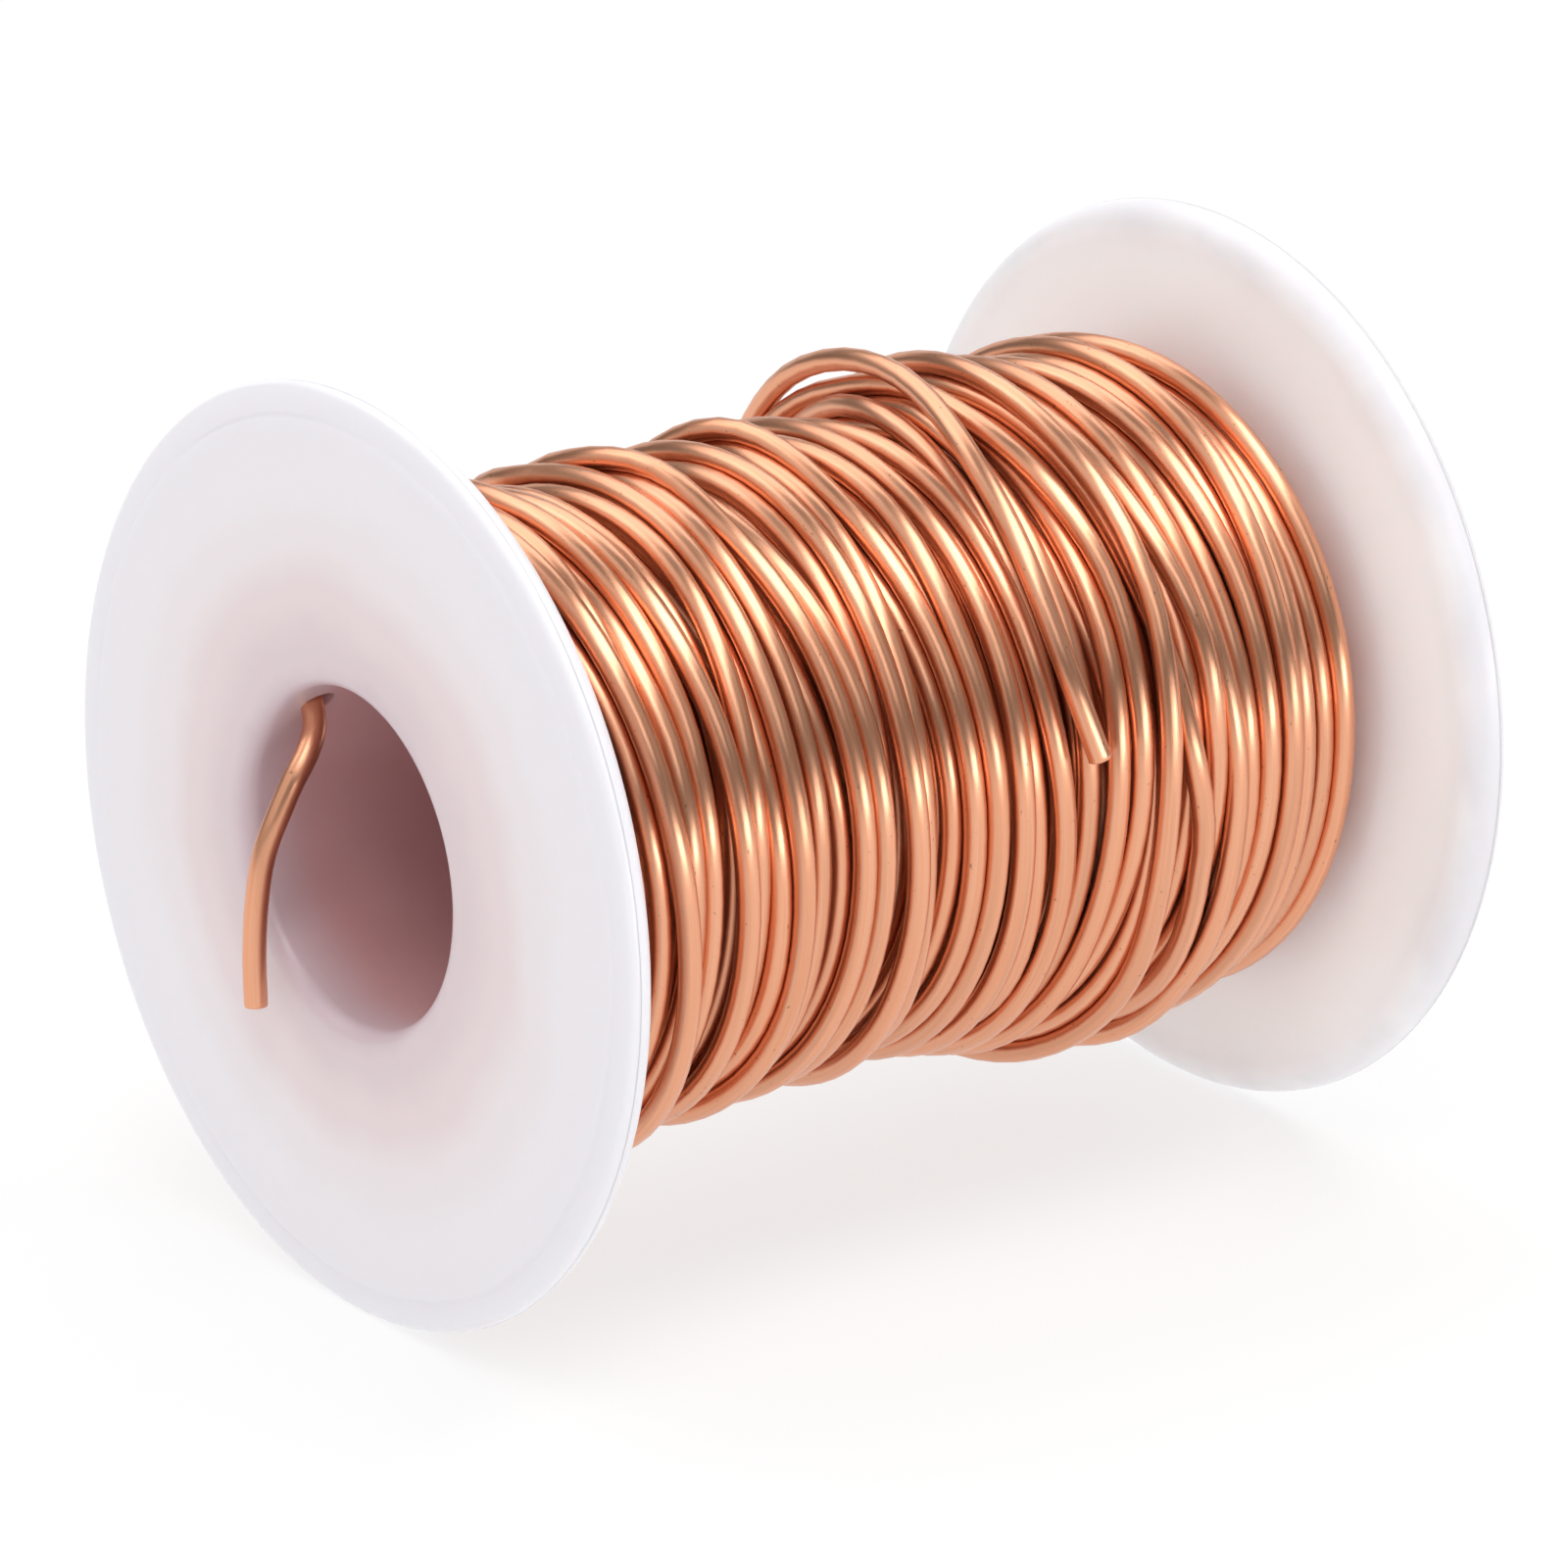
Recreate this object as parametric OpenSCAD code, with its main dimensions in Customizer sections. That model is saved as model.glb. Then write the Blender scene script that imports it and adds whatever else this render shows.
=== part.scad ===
// Small plastic wire spool wound with bare copper wire.
// Millimetres. The spool axis is X, the origin is the middle of the spool on its axis and Z is up.
// The front of the spool, where the inner end of the wire comes out, faces -X.

/* [Spool] */
// Distance between the outer faces of the two flanges
overall_w = 58.4; // [50:0.2:70]
// Diameter of each flange
flange_d = 50.8; // [46:0.2:60]
// Thickness of each flange
flange_t = 2.1; // [1.8:0.1:3]
// Diameter of the hole for the spindle
bore_d = 18.4; // [16:0.2:19]
// Rounding of the mouth of the hole
mouth_r = 1.0; // [0.5:0.1:1.5]

/* [Flange rim] */
// Width of the plain band that runs round the outer face at the rim
rim_band = 1.9; // [1.2:0.1:3]
// Depth of the band below the outer face
rim_step = 0.15; // [0.1:0.05:0.3]
// Rounding where the inner face rolls over to the rim, along the axis
roll_x = 1.5; // [1:0.1:1.6]
// Rounding where the inner face rolls over to the rim, along the radius
roll_r = 2.0; // [1:0.1:3]

/* [Core] */
// Wall of the spigot that each flange carries
spigot_wall = 1.0; // [0.8:0.05:1.5]
// Length of each spigot, from the inner face of its flange
spigot_l = 16; // [8:0.5:24]
// Wall of the tube that the wire is wound on
tube_wall = 1.0; // [0.8:0.1:1.4]

/* [Wire] */
// Diameter of the bare wire
wire_d = 1.29; // [1.0:0.01:1.4]
// Diameter of the hole that the inner end of the wire passes through
wire_hole_d = 1.9; // [1.7:0.1:2.2]
// Angle of that hole round the axis, from +Y towards +Z
wire_hole_angle = 43; // [30:1:60]

/* [Hidden] */
$fn = 96;
CORD_SIDES = 8;
END_ROUND = 0.5;                          // rounding of the rim at the outer face
MOUTH_STEPS = 10;
ROLL_STEPS = 12;

outer_x = overall_w / 2;                  // outer face of a flange
inner_x = outer_x - flange_t;             // inner face of a flange
flange_r = flange_d / 2;
bore_r = bore_d / 2;
spigot_r = bore_r + spigot_wall;
tube_r = spigot_r + tube_wall;
wire_hole_x = -(inner_x - wire_hole_d / 2 - 0.05);
wire_r = wire_d / 2;

// Outline of the wound wire above the tube: distance along the axis and outer radius, from front to rear.
WINDING = [[-27, 16.6], [-16, 17.6], [-4, 16.5], [1, 16.7], [6, 18.1], [13, 18.8], [21, 18.2], [25.4, 17.6], [27, 15]];

// Route of the inner end: from the winding, in through its hole, out of the mouth and down to the cut end.
INNER_END = [
    [-26.4, 8.1, 7.6], [-26.4, 7.0, 6.5], [-26.7, 6.2, 5.3], [-27.6, 5.6, 4.1], [-28.6, 5.4, 2.9],
    [-29.5, 5.5, 1.2], [-30.3, 5.8, -1.0], [-30.8, 5.9, -3.8], [-31.0, 5.9, -6.6], [-31.1, 5.7, -9.4]
];

// Route of the outer end, over the winding from the back to the front: distance along the axis,
// angle from -Y towards +Z and radius. It stands up in a loose arch over the top.
OUTER_END = [
    [8.6, 165, 18.8], [8.4, 156, 18.9], [8.2, 147, 19.1], [8.0, 138, 19.4], [7.7, 129, 19.7], [7.5, 120, 20.0],
    [7.5, 111, 20.1], [7.6, 102, 20.0], [7.6, 93, 19.7], [7.3, 84, 19.3], [6.7, 75, 19.1], [6.1, 66, 19.0],
    [5.7, 57, 18.9], [5.4, 48, 18.9], [5.2, 39, 18.9], [5.2, 30, 18.9], [5.5, 22, 18.9], [6.0, 15, 18.9], [6.7, 7, 18.9]
];

// A list of points on a quarter of an ellipse about [cx, cy], from angle a to angle b.
function quarter(cx, cy, rx, ry, a, b, steps) =
    [for (i = [0:steps]) let (t = a + (b - a) * i / steps) [cx + rx * cos(t), cy + ry * sin(t)]];

function unit(v) = v / norm(v);

// The point at distance x along the axis, angle a from -Y towards +Z, and radius r.
function around(x, a, r) = [x, -r * cos(a), r * sin(a)];

// Direction of a route at point i.
function heading(route, i) =
    unit(route[min(i + 1, len(route) - 1)] - route[max(i - 1, 0)]);

// One ring of a swept cord, square to direction d. ref is any direction that the route never follows.
function ring(p, d, ref, r) =
    let (u = unit(cross(d, ref)), v = cross(u, d))
    [for (k = [0:CORD_SIDES - 1]) let (t = 360 * k / CORD_SIDES) p + r * (u * cos(t) + v * sin(t))];

// A round cord that follows a route.
module cord(route, ref, r) {
    n = len(route);
    rings = [for (i = [0:n - 1]) each ring(route[i], heading(route, i), ref, r)];
    side = [for (i = [0:n - 2], k = [0:CORD_SIDES - 1])
        let (a = i * CORD_SIDES + k, b = i * CORD_SIDES + (k + 1) % CORD_SIDES)
        each [[a, a + CORD_SIDES, b], [b, a + CORD_SIDES, b + CORD_SIDES]]];
    first = [for (k = [0:CORD_SIDES - 1]) k];
    last = [for (k = [CORD_SIDES - 1:-1:0]) (n - 1) * CORD_SIDES + k];
    polyhedron(points = rings, faces = concat([first], side, [last]));
}

// Turns a profile, drawn as [radius, distance along the axis], about the X axis.
module about_x() {
    rotate([0, 90, 0]) rotate_extrude() children();
}

// Half section of a flange and its spigot. Radius runs across and the outer face is up.
module flange_section() {
    polygon(concat(
        quarter(bore_r + mouth_r, outer_x - mouth_r, mouth_r, mouth_r, 180, 90, MOUTH_STEPS),
        [[flange_r - rim_band, outer_x], [flange_r - rim_band + rim_step, outer_x - rim_step]],
        quarter(flange_r - END_ROUND, outer_x - rim_step - END_ROUND, END_ROUND, END_ROUND, 90, 0, MOUTH_STEPS),
        quarter(flange_r - roll_r, inner_x + roll_x, roll_r, -roll_x, 0, 90, ROLL_STEPS),
        [[spigot_r, inner_x], [spigot_r, inner_x - spigot_l], [bore_r, inner_x - spigot_l]]
    ));
}

// The hole that the inner end of the wire passes through, open on one side of the axis only.
module wire_hole() {
    translate([wire_hole_x, 0, 0]) rotate([wire_hole_angle - 90, 0, 0]) translate([0, 0, bore_r - 2])
        cylinder(d = wire_hole_d, h = tube_r - bore_r + 4);
}

// Front flange. Its spigot plugs into the tube and carries the wire hole.
module front_flange() {
    color([0.94, 0.93, 0.94]) difference() {
        mirror([1, 0, 0]) about_x() flange_section();
        wire_hole();
    }
}

// Rear flange, the same moulding turned round.
module rear_flange() {
    color([0.92, 0.92, 0.93]) about_x() flange_section();
}

// Tube between the flanges, pressed on to both spigots.
module core_tube() {
    color([0.90, 0.88, 0.89]) difference() {
        about_x() translate([spigot_r, -inner_x]) square([tube_wall, 2 * inner_x]);
        wire_hole();
    }
}

// Outer shape of the wound wire.
module wire_winding() {
    color([0.80, 0.50, 0.34]) about_x() polygon(concat(
        [[tube_r, WINDING[0][0]]],
        [for (p = WINDING) [p[1], p[0]]],
        [[tube_r, WINDING[len(WINDING) - 1][0]]]
    ));
}

// Inner end of the wire.
module wire_inner_end() {
    color([0.85, 0.55, 0.35]) cord(INNER_END, [0, 1, 0], wire_r);
}

// Outer end of the wire: the last loose turn, up to its cut end.
module wire_outer_end() {
    color([0.85, 0.55, 0.35]) cord([for (p = OUTER_END) around(p[0], p[1], p[2])], [1, 0, 0], wire_r);
}

front_flange();
rear_flange();
core_tube();
wire_winding();
wire_inner_end();
wire_outer_end();
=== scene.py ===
"""Small plastic wire spool wound with bare copper wire, for Blender 4.5.

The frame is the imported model's: metres, +X along the spool's axis from the flange where the inner
end of the wire comes out to the other one, Z up, origin in the middle of the spool.
The winding is worked out in millimetres and turned into metres when its mesh is made.
"""

import math

import bmesh
import bpy
import numpy as np
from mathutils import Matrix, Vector


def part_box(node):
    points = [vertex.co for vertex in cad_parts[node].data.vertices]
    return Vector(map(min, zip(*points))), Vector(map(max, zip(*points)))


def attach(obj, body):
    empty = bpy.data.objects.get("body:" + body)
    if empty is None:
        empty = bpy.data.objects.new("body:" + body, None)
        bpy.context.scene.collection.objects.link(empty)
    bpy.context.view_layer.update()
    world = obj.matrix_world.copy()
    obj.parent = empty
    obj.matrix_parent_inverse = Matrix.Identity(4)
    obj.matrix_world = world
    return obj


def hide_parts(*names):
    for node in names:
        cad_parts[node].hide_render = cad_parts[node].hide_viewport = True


MM = 0.001

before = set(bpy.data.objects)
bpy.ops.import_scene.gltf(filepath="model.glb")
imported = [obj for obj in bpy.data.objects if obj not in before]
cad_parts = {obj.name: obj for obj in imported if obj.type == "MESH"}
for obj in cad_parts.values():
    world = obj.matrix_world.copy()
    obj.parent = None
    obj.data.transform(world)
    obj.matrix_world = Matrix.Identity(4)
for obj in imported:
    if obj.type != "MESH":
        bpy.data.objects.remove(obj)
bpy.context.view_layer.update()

# ---------------------------------------------------------------- sizes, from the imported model
CORE_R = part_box("core_tube")[1].z / MM
INNER_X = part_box("core_tube")[1].x / MM
OUTER_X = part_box("rear_flange")[1].x / MM
FLANGE_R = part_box("rear_flange")[1].z / MM
FLOOR_Z = -FLANGE_R * MM

# The rest repeats part.scad, in millimetres.
WIRE = 1.29
BORE_R = 9.2
MOUTH_R = 1.0
RIM_BAND = 1.9
RIM_STEP = 0.15
ROLL_X, ROLL_R = 1.5, 2.0
END_ROUND = 0.5
SPIGOT_R = 10.2
SPIGOT_L = 16.0
WIRE_HOLE_D = 1.9
WIRE_HOLE_X = -26.1
WIRE_HOLE_ANGLE = 43.0

# Route of the wire's inner end, from its cut end up to the hole in the bore.
INNER_END = [
    (-31.1, 5.7, -9.4), (-31.0, 5.9, -6.6), (-30.8, 5.9, -3.8), (-30.3, 5.8, -1.0), (-29.5, 5.5, 1.2),
    (-28.6, 5.4, 2.9), (-27.6, 5.6, 4.1), (-26.7, 6.2, 5.3), (-26.4, 7.0, 6.5), (-26.4, 8.1, 7.6),
]
# Route of its outer end: position along the axis, angle from -Y towards +Z in degrees, radius.
OUTER_END = [
    (8.6, 165, 18.8), (8.4, 156, 18.9), (8.2, 147, 19.1), (8.0, 138, 19.4), (7.7, 129, 19.7),
    (7.5, 120, 20.0), (7.5, 111, 20.1), (7.6, 102, 20.0), (7.6, 93, 19.7), (7.3, 84, 19.3),
    (6.7, 75, 19.1), (6.1, 66, 19.0), (5.7, 57, 18.9), (5.4, 48, 18.9), (5.2, 39, 18.9),
    (5.2, 30, 18.9), (5.5, 22, 18.9), (6.0, 15, 18.9), (6.7, 7, 18.9),
]

# ---------------------------------------------------------------- the camera
CAMERA_AT = Vector((-272.587, -360.162, 158.471)) * MM
LOOKS_AT = Vector((-0.655, -0.286, -1.755)) * MM
LENS = 203.55


def make_camera():
    data = bpy.data.cameras.new("camera")
    data.lens = LENS
    data.sensor_width = 36.0
    data.clip_start = 0.01
    data.clip_end = 20.0
    cam = bpy.data.objects.new("camera", data)
    cam.location = CAMERA_AT
    cam.rotation_euler = (LOOKS_AT - CAMERA_AT).to_track_quat("-Z", "Y").to_euler()
    bpy.context.scene.collection.objects.link(cam)
    bpy.context.scene.camera = cam


make_camera()

# ---------------------------------------------------------------- the winding
SLICES = 72  # slices of one turn
FIRST_PHI = 130.0  # angle of the first slice, just past the hole
LAST_PHI = 170.0  # angle of the last slice, where the outer end's route takes over
END_X = INNER_X - WIRE / 2 - 0.03
LAYER_STEP = 0.866 * WIRE

# Outline of the winding: position along the axis and outer radius.
WINDING = [
    (-27, 16.6), (-16, 17.6), (-4, 16.5), (1, 16.7), (6, 18.1),
    (13, 18.8), (21, 18.2), (25.4, 17.6), (27, 15),
]
SQUEEZE = 0.10  # how hard turns outside the outline are pressed in
RIDES = 4.6  # turns laid in this layer or higher stay up on the others
ROUNDS = 280  # rounds of settling
ROUNDING = 80  # the last rounds, in which bends are spread out more than before
PULL = 0.02  # how far the wire's pull draws every turn in, each round
LATE_PULL = 0.3  # share of that pull in the last fifth of the rounds
STIFF = 0.6  # share of each bend that is spread out, each round
PUSH = 0.9  # share of an overlap that is cleared at once
UPPER_GIVES = 0.75  # share of a push that the outer of two turns takes
NEAR = 1.4  # turns nearer than this many wire diameters are watched
SINK = 0.25  # how far below its layer a turn that rides high may sink, in layers
DROOP = 1.5  # how far a loose loop comes in at its ends
HOLD = 0.20  # how firmly the turns that show are held to their places along the axis
END_HOLD = 0.05  # the same, for the last part of a turn
SEED = 4

# Passes of the wire along the core: from, to, distance between turns, layer.
LOWER = [
    (-END_X, END_X, 1.32, 0),
    (END_X, -END_X, 1.32, 1),
    (-END_X, 7.0, 2.1, 2),
    (7.0, END_X, 1.33, 2),
    (END_X, 8.0, 1.34, 3),
    (8.0, -END_X, 3.6, 2.6),
]
# Passes that go on from wherever the wire is: to, distance between turns, layer.
MIDDLE = [(21.5, 3.8, 3.8), (11.5, 4.0, 4.2)]
# The turns that show. Each row has the layer it is laid in, then where it crosses the front:
# its position along the axis at these angles.
GUIDE_PHI = [80, 60, 40, 20, 0, -20, -40]
LEFT = [
    [4.0, -25.6, -25.5, -25.4, -25.3, -25.2, -25.1, -25.0],
    [4.0, -24.2, -24.2, -24.2, -24.2, -24.2, -24.1, -24.0],
    [4.6, -22.5, -22.6, -22.8, -23.0, -23.1, -22.9, -22.7],
    [4.0, -21.6, -21.4, -21.2, -20.9, -20.7, -20.4, -20.2],
    [5.2, -21.3, -21.1, -20.8, -20.5, -20.0, -19.4, -18.8],
    [4.2, -19.4, -19.8, -20.1, -20.0, -19.8, -19.6, -19.4],
    [4.4, -18.6, -18.8, -18.9, -19.0, -19.1, -19.0, -18.8],
    [4.5, -18.0, -17.7, -17.5, -17.5, -17.5, -17.5, -17.3],
    [4.9, -16.9, -16.6, -16.1, -15.7, -15.6, -15.4, -15.2],
    [4.0, -15.6, -14.9, -14.8, -15.1, -15.4, -15.5, -15.5],
    [4.2, -13.4, -13.1, -13.6, -14.3, -14.5, -14.5, -14.4],
    [4.0, -12.6, -12.6, -12.8, -13.3, -13.3, -13.2, -13.1],
    [4.9, -11.9, -12.0, -12.1, -12.3, -12.3, -12.4, -12.6],
    [4.4, -10.5, -10.4, -10.4, -10.4, -10.4, -10.4, -10.2],
    [4.1, -10.4, -9.9, -9.4, -8.8, -8.4, -8.3, -8.4],
    [4.7, -10.4, -9.2, -8.2, -7.8, -7.7, -7.8, -7.9],
    [4.7, -9.2, -8.0, -7.0, -6.6, -6.5, -6.6, -6.7],
    [4.0, -5.6, -5.6, -5.6, -5.7, -5.8, -5.7, -5.5],
    [4.8, -5.2, -4.9, -4.7, -4.6, -4.5, -4.2, -3.9],
    [4.4, -2.4, -2.4, -2.9, -3.3, -3.5, -3.4, -3.2],
    [4.0, -2.2, -1.9, -1.3, -1.0, -0.9, -1.1, -1.3],
    [4.5, -1.9, -1.3, -0.7, -0.3, -0.2, -0.1, -0.1],
    [4.1, -0.4, 0.4, 0.8, 1.0, 1.1, 1.2, 1.3],
    [4.6, 0.3, 0.5, 0.5, 0.6, 0.9, 1.1, 1.2],
    [4.0, 2.6, 2.5, 2.3, 2.2, 2.3, 2.6, 2.8],
    [4.8, 2.4, 2.5, 2.8, 2.7, 2.5, 2.8, 3.3],
    [4.0, 4.2, 4.2, 4.1, 3.9, 3.8, 4.0, 4.3],
    [4.5, 4.2, 4.8, 4.6, 4.7, 5.3, 5.7, 5.8],
    [4.0, 6.8, 6.0, 5.6, 5.7, 5.9, 6.2, 6.4],
]
RIGHT = [
    [4.2, 7.1, 7.4, 7.4, 7.3, 7.2, 7.0, 6.9],
    [4.5, 9.3, 9.4, 9.4, 9.1, 8.5, 8.1, 7.9],
    [4.9, 8.5, 9.1, 9.8, 10.2, 10.1, 9.4, 9.1],
    [4.6, 11.4, 11.5, 11.5, 11.4, 11.2, 10.9, 10.6],
    [4.9, 12.3, 12.3, 12.3, 12.4, 12.9, 13.9, 14.9],
    [4.8, 13.3, 13.5, 13.9, 14.5, 14.9, 15.1, 15.2],
    [4.8, 17.6, 18.1, 18.7, 19.0, 18.8, 18.4, 18.2],
    [5.0, 19.7, 19.9, 20.0, 19.8, 19.4, 19.2, 19.0],
    [5.2, 21.4, 21.6, 21.5, 21.2, 21.2, 21.1, 21.1],
    [5.0, 22.6, 22.8, 23.1, 23.2, 23.1, 23.0, 22.9],
    [5.2, 22.5, 23.4, 23.8, 24.1, 24.1, 24.1, 24.0],
    [5.8, 20.3, 20.4, 20.3, 20.1, 19.9, 19.8, 19.7],
    [5.3, 15.4, 15.3, 15.5, 15.9, 16.4, 16.5, 16.4],
    [6.0, 12.1, 12.0, 12.4, 12.3, 11.2, 10.7, 10.8],
]
# Loose loops that stand off the winding: row of the list, angle, slices it reaches, radius.
LEFT_LOOPS = [(4, -50, 14, 17.4)]
RIGHT_LOOPS = [(13, -62, 16, 18.7)]
# How a pass of turns sways along the axis: turns in one sway, and how far it goes.
TIDY = [(3.1, 0.06)]
LOOSE = [(0.7, 0.10), (1.3, 0.22), (2.7, 0.25), (5.1, 0.2)]


def ease(a, b, t):
    t = np.clip(t, 0, 1)
    return a + (b - a) * t * t * (3 - 2 * t)


def curve(at, values, t):
    """A smooth curve through the values, which stand at the rising numbers in at."""
    at, values = np.asarray(at, float), np.asarray(values, float)
    if values.ndim == 2:
        return np.stack([curve(at, v, t) for v in values.T], axis=1)
    h = np.diff(at)
    d = np.diff(values) / h
    m = np.empty(len(at))
    m[1:-1] = (d[:-1] * h[1:] + d[1:] * h[:-1]) / (h[:-1] + h[1:])
    m[0], m[-1] = d[0], d[-1]
    k = np.clip(np.searchsorted(at, t, side="right") - 1, 0, len(h) - 1)
    u = (t - at[k]) / h[k]
    return (
        (2 * u**3 - 3 * u**2 + 1) * values[k]
        + (u**3 - 2 * u**2 + u) * h[k] * m[k]
        + (3 * u**2 - 2 * u**3) * values[k + 1]
        + (u**3 - u**2) * h[k] * m[k + 1]
    )


class Plan:
    """Where the wire should go, slice by slice: its position along the axis, the radius it is laid at,
    the least radius it may have, and how firmly it is held to its place along the axis."""

    def __init__(self, seed):
        self.x, self.r, self.low, self.hold = [], [], [], []
        self.rng = np.random.default_rng(seed)

    def phi(self):
        return FIRST_PHI - 360.0 * len(self.x) / SLICES

    def put(self, x, level, hold):
        self.x += list(np.clip(x, -END_X, END_X))
        self.r += list(CORE_R + WIRE / 2 + LAYER_STEP * (level + np.zeros(len(x))))
        self.low += [CORE_R + WIRE / 2] * len(x)
        self.hold += [hold] * len(x)

    def run(self, x0, x1, pitch, level, sway):
        """A pass of evenly spaced turns that sway a little."""
        n = int(round(abs(x1 - x0) / pitch * SLICES))
        t = np.arange(n) / SLICES
        off = sum(a * np.sin(2 * np.pi * (t / p + self.rng.random())) for p, a in sway)
        off = off * ease(0, 1, t / 0.5) * ease(0, 1, (n / SLICES - t) / 0.5)
        self.put(x0 + (x1 - x0) * np.arange(n) / max(n, 1) + off, level, 0.0)

    def guided(self, turns, loops, hold):
        """Turns that cross the front at given places, and go from each to the next round the back."""
        begin = len(self.x)
        start = self.phi()
        base = 360.0 * math.floor((start - GUIDE_PHI[0]) / 360.0)
        at, xs, levels = [-start], [self.x[-1]], [turns[0][0]]
        for k, (level, *row) in enumerate(turns):
            for a, x in zip(GUIDE_PHI, row):
                at.append(360.0 * k - base - a)
                xs.append(x)
                levels.append(level)
        n = int(round((at[-1] - at[0]) / 360.0 * SLICES))
        t = at[0] + np.arange(1, n + 1) * 360.0 / SLICES
        level = np.interp(t, at, levels)
        self.put(curve(at, xs, t), level, hold)
        # Turns laid high ride over the others, and cannot sink between them.
        least = level - SINK - 2 * np.clip(RIDES - level, 0, 1)
        self.low[-n:] = list(CORE_R + WIRE / 2 + LAYER_STEP * least)
        for k, a, reach, radius in loops:
            middle = begin + (360.0 * k - base - a - at[0]) / 360.0 * SLICES
            for i in range(int(middle) - reach, min(int(middle) + reach, begin + n)):
                self.low[i] = max(self.low[i], radius - DROOP * ((i - middle) / reach) ** 2)

    def finish(self, x1, radius, hold):
        """The last part of a turn, up to the angle where the outer end's route begins."""
        n = int(round(((self.phi() - LAST_PHI) % 360) / 360 * SLICES)) + 1
        t = np.arange(1, n + 1) / n
        self.put(ease(self.x[-1], x1, t), (radius - CORE_R - WIRE / 2) / LAYER_STEP, hold)
        self.low[-n:] = list(ease(radius - 0.4, radius, t))


def neighbours(x, r):
    """Pairs of slices, at the same angle, whose wires are near each other."""
    reach = NEAR * WIRE
    first, second = [], []
    for k in range(SLICES):
        ids = np.arange(k, len(x), SLICES)
        ids = ids[np.argsort(x[ids], kind="stable")]
        xs, rs = x[ids], r[ids]
        for s in range(1, len(ids)):
            gap = xs[s:] - xs[:-s]
            if gap.min() > reach:
                break
            near = (gap < reach) & (np.abs(rs[s:] - rs[:-s]) < reach)
            first.append(ids[:-s][near])
            second.append(ids[s:][near])
    return np.concatenate(first), np.concatenate(second)


def spread_bends(a):
    """Spreads the bends of a run of slices out over the seven nearest ones."""
    a[3:-3] = (
        a[:-6] + 2 * a[1:-5] + 3 * a[2:-4] + 3 * a[3:-3] + 3 * a[4:-2] + 2 * a[5:-1] + a[6:]
    ) / 15


def settle(want, r, low, hold, fixed):
    """Neighbouring turns push apart to a diameter, and the wire's pull draws them in."""
    x, start = want.copy(), r.copy()
    outline = np.array(WINDING)
    n = len(x)
    for it in range(ROUNDS):
        if it % 8 == 0:
            first, second = neighbours(x, r)
        for a in (x, r):
            a[1:-1] = (1 - STIFF) * a[1:-1] + STIFF * 0.5 * (a[:-2] + a[2:])
            if it >= ROUNDS - ROUNDING:
                spread_bends(a)
        room = np.maximum(np.interp(x, outline[:, 0], outline[:, 1]) - WIRE / 2, low)
        r -= PULL * (1 if it < 0.8 * ROUNDS else LATE_PULL) + SQUEEZE * np.maximum(r - room, 0)
        x += hold * (want - x)
        for _ in range(3):
            dx, dr = x[second] - x[first], r[second] - r[first]
            d = np.sqrt(dx * dx + dr * dr) + 1e-9
            hit = d < WIRE
            i, j = first[hit], second[hit]
            push = PUSH * (WIRE - d[hit]) / d[hit]
            gives = np.where(r[i] > r[j], UPPER_GIVES, 1 - UPPER_GIVES)
            count = np.bincount(i, minlength=n) + np.bincount(j, minlength=n)
            share = 1 / np.maximum(1, 0.6 * count)
            for a, da in ((x, dx[hit]), (r, dr[hit])):
                outward = np.bincount(j, (1 - gives) * push * da, n)
                a += share * (outward - np.bincount(i, gives * push * da, n))
            np.clip(x, -END_X, END_X, out=x)
            np.maximum(r, low, out=r)
            x[fixed], r[fixed] = want[fixed], start[fixed]
    return x, r


def wind():
    """The wire on the core, as rows of position along the axis, angle and radius."""
    plan = Plan(SEED)
    for a, b, pitch, level in LOWER:
        plan.run(a, b, pitch, level, TIDY if level < 2 else LOOSE)
    plan.guided(LEFT, LEFT_LOOPS, HOLD)
    for end, pitch, level in MIDDLE:
        plan.run(plan.x[-1], end, pitch, level, LOOSE)
    plan.guided(RIGHT, RIGHT_LOOPS, HOLD)
    plan.finish(OUTER_END[0][0] + 0.1, OUTER_END[0][2] - 0.1, END_HOLD)
    wound = len(plan.x)
    step = 360.0 / SLICES
    tail_phi = np.arange(LAST_PHI - step, OUTER_END[-1][1] - 1, -step)
    route = np.array(OUTER_END, float)
    tail = curve(-route[:, 1], route[:, [0, 2]], -np.minimum(tail_phi, route[0, 1]))
    x = np.concatenate([plan.x, tail[:, 0]])
    r = np.concatenate([plan.r, tail[:, 1]])
    low = np.concatenate([plan.low, tail[:, 1]])
    hold = np.concatenate([plan.hold, np.zeros(len(tail))])
    fixed = np.arange(len(x)) >= wound
    x, r = settle(x, r, low, hold, fixed)
    return np.stack([x, FIRST_PHI - step * np.arange(len(x)), r], axis=1)


def around(rows):
    """Points in millimetres from rows of position along the axis, angle and radius."""
    a = np.radians(rows[:, 1])
    return np.stack([rows[:, 0], -rows[:, 2] * np.cos(a), rows[:, 2] * np.sin(a)], axis=1)


def along(points):
    return np.concatenate([[0], np.cumsum(np.linalg.norm(np.diff(points, axis=0), axis=1))])


def smooth_route(points, step):
    """A route with points about step apart, on a smooth curve through the given ones."""
    points = np.asarray(points, float)
    s = along(points)
    t = np.linspace(0, s[-1], max(2, int(round(s[-1] / step)) + 1))
    return curve(s, points, t)


def wire_route():
    """The whole wire in millimetres, from the cut inner end to the cut outer end."""
    coil = around(wind())
    start = smooth_route(np.concatenate([INNER_END, coil[:3]]), 0.3)
    lap = int(np.argmin(np.linalg.norm(start - coil[1], axis=1)))
    return np.concatenate([start[:lap], coil[1:]])


SIDES = 14  # sides of the wire
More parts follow.
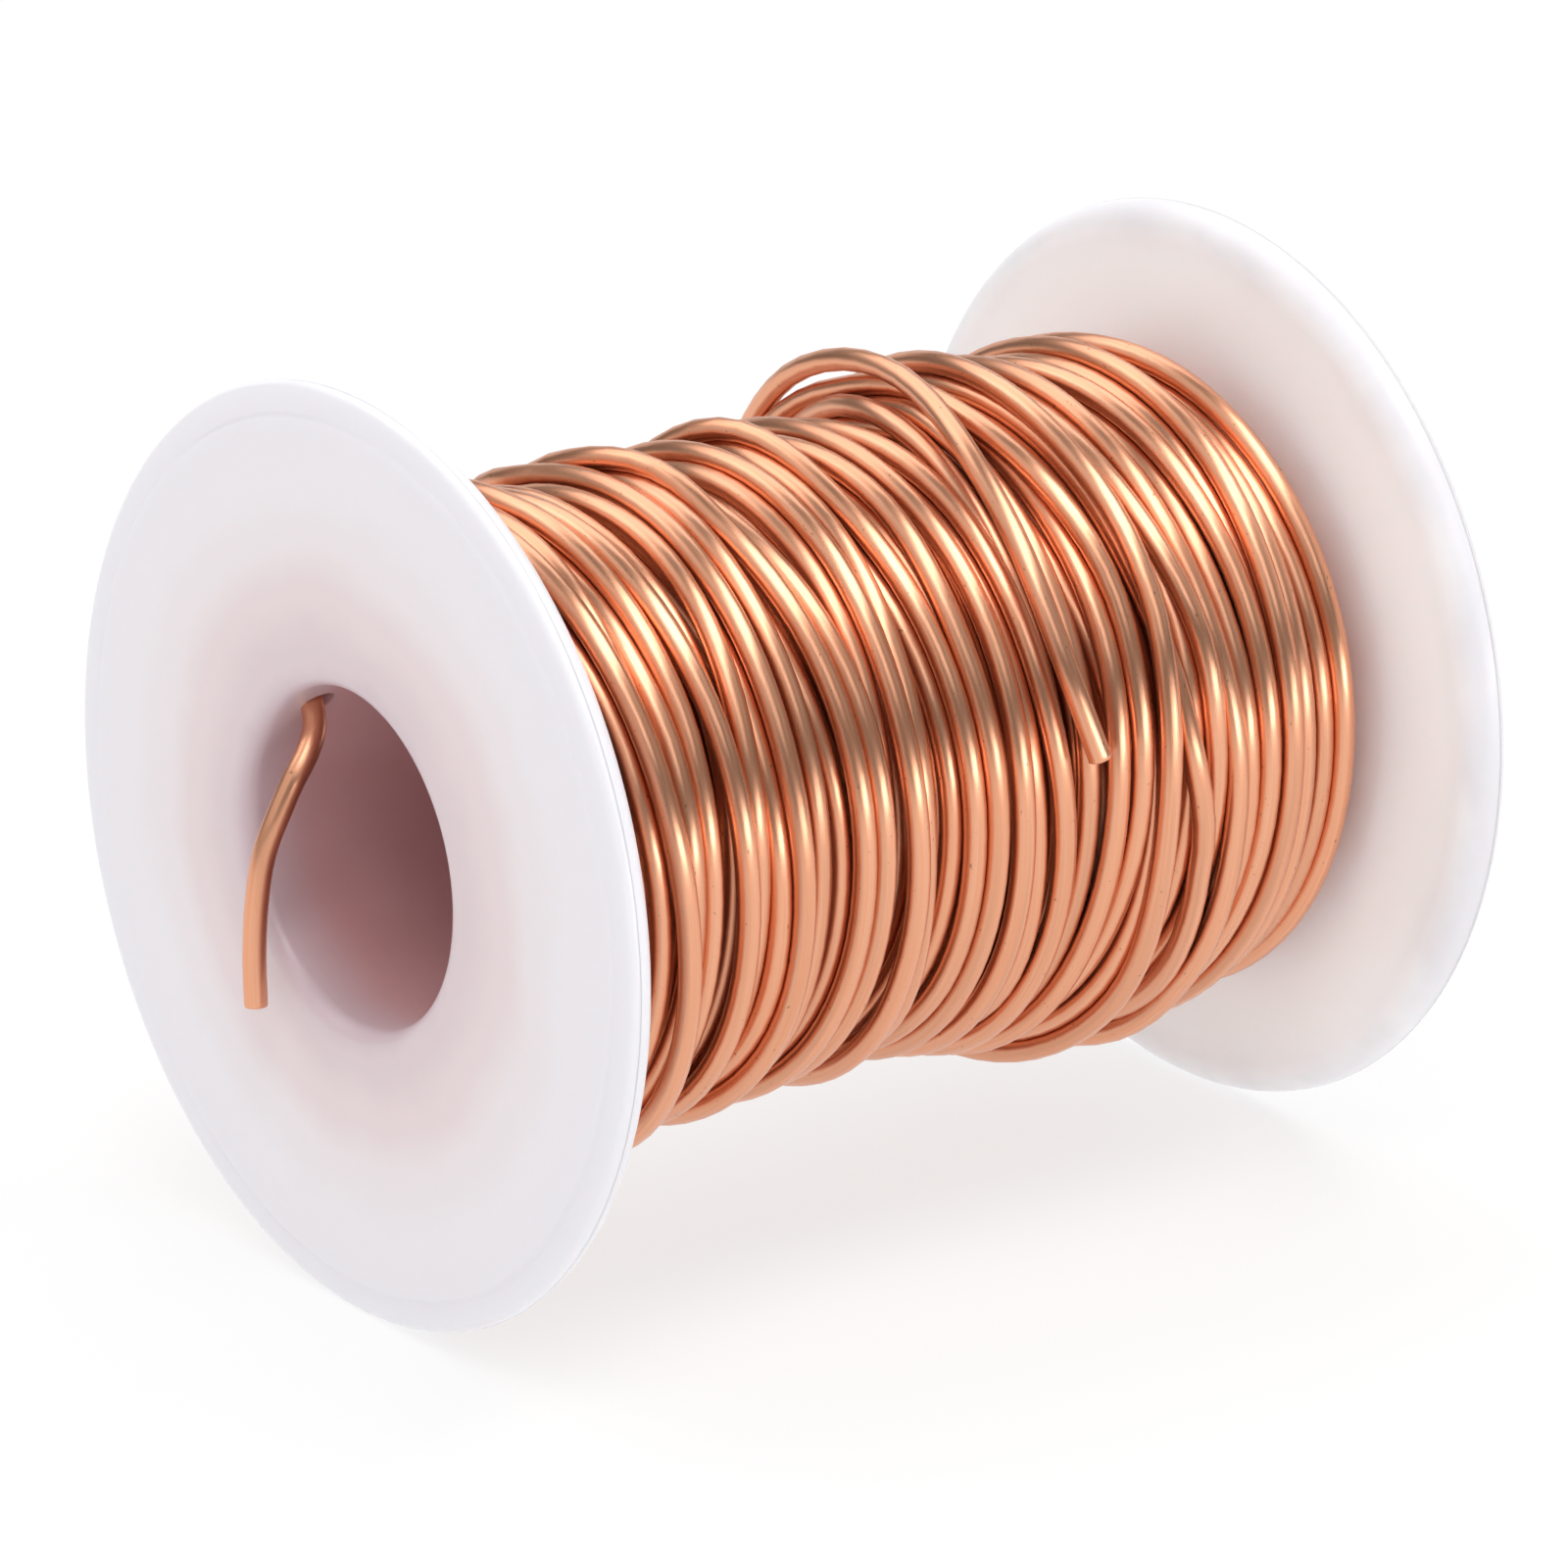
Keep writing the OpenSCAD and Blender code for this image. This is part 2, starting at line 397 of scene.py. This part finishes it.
# Rings where the cutter pinched the wire: distance from the cut, and the wire's share of its full
# width and height there.
INNER_CUT = [(0.0, 0.90, 0.93), (0.07, 1.0, 0.98), (0.22, 1.02, 0.98)]
OUTER_CUT = [(0.22, 1.0, 1.0), (0.07, 1.03, 1.0), (0.0, 0.90, 0.95)]


def cut_rings(end, inward, cut):
    """Where the rings near a cut end lie. inward is the route's next point from that end."""
    d = (end - inward) / np.linalg.norm(end - inward)
    return np.array([end - distance * d for distance, _, _ in cut])


def tube(name, route, radius, swell):
    """A closed tube along the route. swell holds, ring by ring, how far it is flattened along and across."""
    tangents = np.gradient(route, axis=0)
    tangents /= np.linalg.norm(tangents, axis=1)[:, None]
    u = np.cross(tangents[0], (1.0, 0.0, 0.0))
    rings = np.empty((len(route), SIDES, 3))
    turn = 2 * np.pi * np.arange(SIDES) / SIDES
    c, s = np.cos(turn)[:, None], np.sin(turn)[:, None]
    for i, t in enumerate(tangents):
        u = u - (u @ t) * t
        u /= math.sqrt(u @ u)
        v = np.cross(t, u)
        rings[i] = route[i] + radius * (swell[i, 0] * c * u + swell[i, 1] * s * v)
    n = len(route)
    points = np.concatenate([rings.reshape(-1, 3), route[:1], route[-1:]]) * MM
    k = np.arange(SIDES)
    nxt = (k + 1) % SIDES
    base = (np.arange(n - 1) * SIDES)[:, None]
    quads = np.stack([base + k, base + nxt, base + SIDES + nxt, base + SIDES + k], axis=2).reshape(-1, 4)
    first = np.stack([np.full(SIDES, n * SIDES), nxt, k], axis=1)
    last = np.stack([np.full(SIDES, n * SIDES + 1), (n - 1) * SIDES + k, (n - 1) * SIDES + nxt], axis=1)
    mesh = bpy.data.meshes.new(name)
    mesh.from_pydata(points.tolist(), [], quads.tolist() + first.tolist() + last.tolist())
    s_along = along(route) * MM
    layer = mesh.uv_layers.new(name="Along")
    uv_quads = np.empty((n - 1, SIDES, 4, 2))
    uv_quads[..., 0, 0] = uv_quads[..., 1, 0] = s_along[:-1, None]
    uv_quads[..., 2, 0] = uv_quads[..., 3, 0] = s_along[1:, None]
    uv_quads[..., 0, 1] = uv_quads[..., 3, 1] = k / SIDES
    uv_quads[..., 1, 1] = uv_quads[..., 2, 1] = (k + 1) / SIDES
    caps = np.empty((2, SIDES, 3, 2))
    caps[0, ..., 0] = s_along[0]
    caps[1, ..., 0] = s_along[-1]
    caps[..., 1] = 0.5
    uv = np.concatenate([uv_quads.reshape(-1), caps.reshape(-1)])
    layer.data.foreach_set("uv", uv.astype(np.float32))
    mesh.update()
    obj = bpy.data.objects.new(name, mesh)
    bpy.context.scene.collection.objects.link(obj)
    for p in mesh.polygons:
        p.use_smooth = True
    return obj


def make_wire():
    route = wire_route()
    head = cut_rings(route[0], route[1], INNER_CUT)
    tail = cut_rings(route[-1], route[-2], OUTER_CUT)
    route = np.concatenate([head, route[2:-2], tail])
    swell = np.ones((len(route), 2))
    swell[:3] = [(width, height) for _, width, height in INNER_CUT]
    swell[-3:] = [(width, height) for _, width, height in OUTER_CUT]
    obj = tube("copper_wire", route, WIRE / 2, swell)
    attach(obj, "root")
    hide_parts("wire_winding", "wire_inner_end", "wire_outer_end")
    return obj


wire = make_wire()

# ---------------------------------------------------------------- the plastic spool
AROUND = 256  # slices round a flange
SMOOTH_BELOW = 40  # degrees


def arc(cx, cy, rx, ry, a, b, steps):
    t = np.radians(a + (b - a) * np.arange(steps + 1) / steps)
    return [(cx + rx * math.cos(v), cy + ry * math.sin(v)) for v in t]


def flange_profile():
    """Half section of a flange and its spigot: radius and distance along the axis, round the outline."""
    face = [(r, OUTER_X) for r in np.linspace(BORE_R + MOUTH_R, FLANGE_R - RIM_BAND, 22)[1:-1]]
    back = [(r, INNER_X) for r in np.linspace(FLANGE_R - ROLL_R, SPIGOT_R + 0.25, 22)[1:-1]]
    step = [
        (FLANGE_R - RIM_BAND, OUTER_X),
        (FLANGE_R - RIM_BAND + 0.08, OUTER_X - 0.02),
        (FLANGE_R - RIM_BAND + 0.22, OUTER_X - RIM_STEP + 0.02),
        (FLANGE_R - RIM_BAND + 0.32, OUTER_X - RIM_STEP),
    ]
    end = INNER_X - SPIGOT_L
    return (
        arc(BORE_R + MOUTH_R, OUTER_X - MOUTH_R, MOUTH_R, MOUTH_R, 180, 90, 10)
        + face
        + step
        + arc(FLANGE_R - END_ROUND, OUTER_X - RIM_STEP - END_ROUND, END_ROUND, END_ROUND, 90, 0, 8)
        + arc(FLANGE_R - ROLL_R, INNER_X + ROLL_X, ROLL_R, -ROLL_X, 0, 90, 12)
        + back
        + [(SPIGOT_R, INNER_X)]
        + [(SPIGOT_R, x) for x in np.linspace(INNER_X, end + 0.2, 10)[1:]]
        + arc(SPIGOT_R - 0.2, end + 0.2, 0.2, 0.2, 0, -90, 3)[1:]
        + arc(BORE_R + 0.2, end + 0.2, 0.2, 0.2, 270, 180, 3)
        + [(BORE_R, x) for x in np.linspace(end + 0.2, OUTER_X - MOUTH_R, 12)[1:-1]]
    )


def lathe(name, profile, side):
    """Turns a closed outline about the X axis. side is -1 for the front of the spool."""
    prof = np.array(profile)
    a = 2 * np.pi * np.arange(AROUND) / AROUND
    pts = np.empty((AROUND, len(prof), 3))
    pts[..., 0] = side * prof[None, :, 1]
    pts[..., 1] = -prof[None, :, 0] * np.cos(a)[:, None]
    pts[..., 2] = prof[None, :, 0] * np.sin(a)[:, None]
    m = len(prof)
    i = np.arange(AROUND)[:, None]
    j = np.arange(m)
    i2, j2 = (i + 1) % AROUND, (j + 1) % m
    quads = np.stack([i * m + j, i * m + j2, i2 * m + j2, i2 * m + j], axis=2).reshape(-1, 4)
    if side < 0:
        quads = quads[:, ::-1]
    mesh = bpy.data.meshes.new(name)
    mesh.from_pydata((pts.reshape(-1, 3) * MM).tolist(), [], quads.tolist())
    mesh.update()
    obj = bpy.data.objects.new(name, mesh)
    bpy.context.scene.collection.objects.link(obj)
    return obj


def smooth_by_angle(obj):
    bpy.ops.object.select_all(action="DESELECT")
    obj.select_set(True)
    bpy.context.view_layer.objects.active = obj
    bpy.ops.object.shade_smooth_by_angle(angle=math.radians(SMOOTH_BELOW))


def drill_wire_hole(obj):
    """Cuts the small round hole that the wire's inner end passes through."""
    a = math.radians(WIRE_HOLE_ANGLE)
    out = Vector((0, math.cos(a), math.sin(a)))
    bm = bmesh.new()
    radius = WIRE_HOLE_D / 2 * MM
    bmesh.ops.create_cone(bm, cap_ends=True, segments=48, radius1=radius, radius2=radius, depth=6 * MM)
    turn = Vector((0, 0, 1)).rotation_difference(out).to_matrix()
    bmesh.ops.rotate(bm, verts=bm.verts, cent=(0, 0, 0), matrix=turn)
    bmesh.ops.translate(bm, verts=bm.verts, vec=Vector((WIRE_HOLE_X, 0, 0)) * MM + out * (BORE_R + 1) * MM)
    mesh = bpy.data.meshes.new("drill")
    bm.to_mesh(mesh)
    bm.free()
    drill = bpy.data.objects.new("drill", mesh)
    bpy.context.scene.collection.objects.link(drill)
    cut = obj.modifiers.new("hole", "BOOLEAN")
    cut.operation = "DIFFERENCE"
    cut.object = drill
    cut.solver = "EXACT"
    bpy.context.view_layer.update()
    whole = bpy.data.meshes.new_from_object(obj.evaluated_get(bpy.context.evaluated_depsgraph_get()))
    obj.modifiers.clear()
    old, obj.data = obj.data, whole
    whole.name = obj.name
    bpy.data.meshes.remove(old)
    bpy.data.objects.remove(drill)


def make_flange(name, node, side):
    obj = lathe(name, flange_profile(), side)
    if side < 0:
        drill_wire_hole(obj)
    smooth_by_angle(obj)
    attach(obj, "root")
    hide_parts(node)
    return obj


front = make_flange("flange_front", "front_flange", -1)
rear = make_flange("flange_rear", "rear_flange", 1)
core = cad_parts["core_tube"]


# ---------------------------------------------------------------- materials
class Nodes:
    """Short names for making a node tree."""

    def __init__(self, name):
        self.mat = bpy.data.materials.new(name)
        self.mat.use_nodes = True
        self.tree = self.mat.node_tree
        self.bsdf = self.tree.nodes["Principled BSDF"]

    def new(self, kind, inputs=(), **settings):
        n = self.tree.nodes.new(kind)
        for key, value in settings.items():
            setattr(n, key, value)
        for key, value in dict(inputs).items():
            if isinstance(value, bpy.types.NodeSocket):
                self.tree.links.new(value, n.inputs[key])
            else:
                n.inputs[key].default_value = value
        return n

    def math(self, operation, a, b=0.0, clamp=False):
        return self.new("ShaderNodeMath", {0: a, 1: b}, operation=operation, use_clamp=clamp).outputs[0]

    def ramp(self, value, stops, smooth=False):
        n = self.new("ShaderNodeValToRGB", {0: value})
        n.color_ramp.interpolation = "EASE" if smooth else "LINEAR"
        ramp = n.color_ramp.elements
        while len(ramp) < len(stops):
            ramp.new(0.5)
        for e, (at, colour) in zip(ramp, stops):
            e.position = at
            e.color = (*colour, 1.0) if len(colour) == 3 else colour
        return n.outputs[0]

    def mix(self, factor, a, b):
        n = self.new("ShaderNodeMix", data_type="RGBA")
        for key, value in ((0, factor), (6, a), (7, b)):
            if isinstance(value, bpy.types.NodeSocket):
                self.tree.links.new(value, n.inputs[key])
            elif key == 0:
                n.inputs[key].default_value = value
            else:
                n.inputs[key].default_value = (*value, 1.0)
        return n.outputs[2]

    def noise(self, vector, scale, detail=2.0, rough=0.5):
        values = {"Vector": vector, "Scale": scale, "Detail": detail, "Roughness": rough}
        return self.new("ShaderNodeTexNoise", values).outputs["Fac"]

    def bump(self, height, strength, distance):
        values = {"Strength": strength, "Distance": distance, "Height": height}
        return self.new("ShaderNodeBump", values).outputs[0]

    def to_bsdf(self, **inputs):
        for key, value in inputs.items():
            key = key.replace("_", " ")
            if isinstance(value, bpy.types.NodeSocket):
                self.tree.links.new(value, self.bsdf.inputs[key])
            else:
                self.bsdf.inputs[key].default_value = value


def grey(v):
    return (v, v, v)


def copper_material():
    n = Nodes("bare_copper")
    uv = n.new("ShaderNodeUVMap", uv_map="Along").outputs[0]
    split = n.new("ShaderNodeSeparateXYZ", {0: uv})
    length, turn = split.outputs[0], n.math("MULTIPLY", split.outputs[1], 2 * math.pi)
    ring = [n.math(f, turn) for f in ("COSINE", "SINE")]

    def on_wire(per_metre, across):
        """Coordinates that run along the wire at one rate and round it at another."""
        return n.new("ShaderNodeCombineXYZ", {
            0: n.math("MULTIPLY", length, per_metre),
            1: n.math("MULTIPLY", ring[0], across),
            2: n.math("MULTIPLY", ring[1], across),
        }).outputs[0]

    die_lines = n.noise(on_wire(60, 3.6), 1.0, 3.0, 0.6)
    fine_lines = n.noise(on_wire(160, 16), 1.0, 2.0, 0.6)
    patches = n.noise(on_wire(28, 0.8), 1.0, 3.0, 0.55)
    specks = n.noise(on_wire(2600, 2.6), 1.0, 1.0, 0.5)
    grain = n.noise(on_wire(4200, 5.0), 1.0, 2.0, 0.6)
    clean = (0.84, 0.425, 0.265)
    deep = (0.80, 0.345, 0.19)
    dull = (0.60, 0.305, 0.19)
    speck = (0.22, 0.11, 0.06)
    colour = n.mix(n.ramp(die_lines, [(0.35, grey(0)), (0.7, grey(0.8))]), clean, deep)
    tarnish = n.ramp(patches, [(0.50, grey(0)), (0.72, grey(0.6))])
    colour = n.mix(tarnish, colour, dull)
    spots = n.ramp(specks, [(0.74, grey(0)), (0.80, grey(0.6))])
    colour = n.mix(spots, colour, speck)
    rough = n.ramp(die_lines, [(0.3, grey(0.265)), (0.75, grey(0.325))])
    rough = n.math("ADD", rough, n.math("MULTIPLY", tarnish, 0.12))
    height = n.math("ADD", n.math("MULTIPLY", die_lines, 0.6), n.math("MULTIPLY", fine_lines, 0.4))
    height = n.math("ADD", height, n.math("MULTIPLY", grain, 0.25))
    height = n.math("ADD", height, n.math("MULTIPLY", spots, -0.5))
    # The die drew fine lines along the wire, so it spreads light mostly across itself.
    lengthwise = n.new("ShaderNodeTangent", direction_type="UV_MAP", uv_map="Along").outputs[0]
    n.to_bsdf(
        Base_Color=colour,
        Metallic=1.0,
        Roughness=rough,
        Normal=n.bump(height, 0.20, 0.00004),
        Anisotropic=0.55,
        Anisotropic_Rotation=0.25,
        Tangent=lengthwise,
    )
    return n.mat


def plastic_material(name, front_side):
    """Milky plastic, with a painted pink glow of the copper behind it, strongest at the bore, and painted
    shade inside the bore.
    """
    n = Nodes(name)
    place = n.new("ShaderNodeTexCoord").outputs["Object"]
    split = n.new("ShaderNodeSeparateXYZ", {0: place})
    x, y, z = split.outputs
    radius = n.math("SQRT", n.math("ADD", n.math("MULTIPLY", y, y), n.math("MULTIPLY", z, z)))
    cloud = n.noise(place, 140.0, 3.0, 0.55)
    shifted = n.math("ADD", radius, n.math("MULTIPLY", n.math("SUBTRACT", cloud, 0.5), 0.0028))
    # 0 at the bore, 1 at the rim.
    t = n.math("DIVIDE", n.math("SUBTRACT", shifted, BORE_R * MM), (FLANGE_R - BORE_R) * MM, clamp=True)
    # Painted pink glow of the copper seen through the plastic, fading from the bore outwards; painted shade
    # darkens the rim a little.
    painted_glow_near_bore = [(0.0, (0.68, 0.56, 0.60)), (0.09, (0.76, 0.64, 0.66)), (0.30, (0.84, 0.72, 0.73))]
    if front_side:
        outer_glow_and_rim_shade = [(0.50, (0.88, 0.82, 0.84)), (0.70, (0.89, 0.86, 0.89)), (1.0, (0.87, 0.86, 0.90))]
    else:
        outer_glow_and_rim_shade = [(0.45, (0.88, 0.81, 0.81)), (0.66, (0.93, 0.90, 0.90))]
        outer_glow_and_rim_shade += [(0.88, (0.91, 0.90, 0.91)), (1.0, (0.82, 0.81, 0.84))]
    face = n.ramp(t, painted_glow_near_bore + outer_glow_and_rim_shade, smooth=True)
    # Painted shade and pink copper glow inside the bore, deepening in from the mouth, where the wall lies
    # right against the winding's core.
    depth = n.math("SUBTRACT", OUTER_X * MM, n.math("ABSOLUTE", x))
    depth = n.math("DIVIDE", depth, 5 * MM, clamp=True)
    depth = n.ramp(depth, [(0.0, grey(0)), (1.0, grey(1))], smooth=True)
    bore_shade_mask = n.math("MULTIPLY", n.math("LESS_THAN", radius, (BORE_R + 0.55) * MM), depth)
    painted_bore_shade = n.ramp(cloud, [(0.3, (0.70, 0.41, 0.41)), (0.7, (0.75, 0.47, 0.48))])
    colour = n.mix(bore_shade_mask, face, painted_bore_shade)
    cells = n.new("ShaderNodeTexVoronoi", {"Vector": place, "Scale": 300.0})
    chance = n.new("ShaderNodeSeparateColor", {0: cells.outputs["Color"]}).outputs[0]
    dust = n.math("LESS_THAN", cells.outputs["Distance"], 0.05)
    dust = n.math("MULTIPLY", dust, n.math("GREATER_THAN", chance, 0.80))
    colour = n.mix(n.math("MULTIPLY", dust, 0.75), colour, (0.20, 0.18, 0.18))
    drawn_out = n.new("ShaderNodeMapping", {"Vector": place, "Scale": (60, 300, 300)}).outputs[0]
    swirl = n.noise(drawn_out, 1.0, 3.0, 0.6)
    skin = n.noise(place, 3800.0, 2.0, 0.5)
    height = n.math("ADD", n.math("MULTIPLY", swirl, 0.4), n.math("MULTIPLY", skin, 0.12))
    if not front_side:
        # A painted glow stands for light from behind that comes through the flange, outside the winding.
        painted_glow_from_behind = [(0.30, grey(0.0)), (0.52, (0.12, 0.135, 0.14))]
        painted_glow_from_behind += [(0.82, (0.105, 0.12, 0.12)), (1.0, grey(0.0))]
        n.to_bsdf(Emission_Color=n.ramp(t, painted_glow_from_behind), Emission_Strength=1.0)
    n.to_bsdf(
        Base_Color=colour,
        Roughness=0.30,
        Normal=n.bump(height, 0.06, 0.00006),
        IOR=1.49,
        Subsurface_Weight=0.5,
        Subsurface_Radius=(0.0012, 0.0010, 0.0010),
        Subsurface_Scale=1.0,
    )
    return n.mat


def paint(obj, material):
    obj.data.materials.clear()
    obj.data.materials.append(material)


paint(wire, copper_material())
paint(front, plastic_material("milky_plastic_front", True))
paint(rear, plastic_material("milky_plastic_rear", False))
core.data.materials[0] = plastic_material("core_plastic", False)


# ---------------------------------------------------------------- floor and light
FLOOR_HALF = 3.0
WORLD_LIGHT = 0.18
# Name, place, size and power of each light. All of them point at the spool.
LIGHTS = [
    ("overhead", (0.04, -0.175, 0.50), (0.85, 0.23), 2.3),
    ("back", (0.05, 0.34, 0.50), (1.00, 0.40), 2.0),
    ("behind", (0.35, 0.75, 0.17), (0.90, 0.30), 0.60),
    ("key", (0.10, -0.62, 0.030), (0.50, 0.085), 0.80),
    ("left_wall", (-0.72, 0.15, 0.52), (1.40, 1.00), 2.7),
    ("front_right", (0.45, -0.45, 0.45), (0.50, 0.40), 0.22),
    ("front", (-0.25, -0.60, 0.50), (0.4, 0.3), 0.5),
]


def make_floor():
    mesh = bpy.data.meshes.new("floor")
    corners = [(-1, -1), (1, -1), (1, 1), (-1, 1)]
    mesh.from_pydata([(FLOOR_HALF * x, FLOOR_HALF * y, FLOOR_Z) for x, y in corners], [], [(0, 1, 2, 3)])
    floor = bpy.data.objects.new("floor", mesh)
    bpy.context.scene.collection.objects.link(floor)
    n = Nodes("floor_white")
    n.to_bsdf(
        Base_Color=(0.25, 0.25, 0.25, 1.0),
        Roughness=0.9,
        Specular_IOR_Level=0.0,
        Emission_Color=(1.0, 1.0, 1.0, 1.0),
        Emission_Strength=0.735,
    )
    floor.data.materials.append(n.mat)


def area_light(name, at, size, power):
    data = bpy.data.lights.new(name, "AREA")
    data.shape = "RECTANGLE"
    data.size, data.size_y = size
    data.energy = power
    obj = bpy.data.objects.new(name, data)
    obj.location = at
    obj.rotation_euler = (-Vector(at)).to_track_quat("-Z", "Y").to_euler()
    bpy.context.scene.collection.objects.link(obj)
    obj.visible_camera = False


def make_world():
    world = bpy.data.worlds.new("studio")
    world.use_nodes = True
    back = world.node_tree.nodes["Background"]
    back.inputs["Color"].default_value = (1.0, 1.0, 1.0, 1.0)
    back.inputs["Strength"].default_value = WORLD_LIGHT
    bpy.context.scene.world = world


make_floor()
make_world()
for light in LIGHTS:
    area_light(*light)
bpy.context.scene.view_settings.view_transform = "Standard"
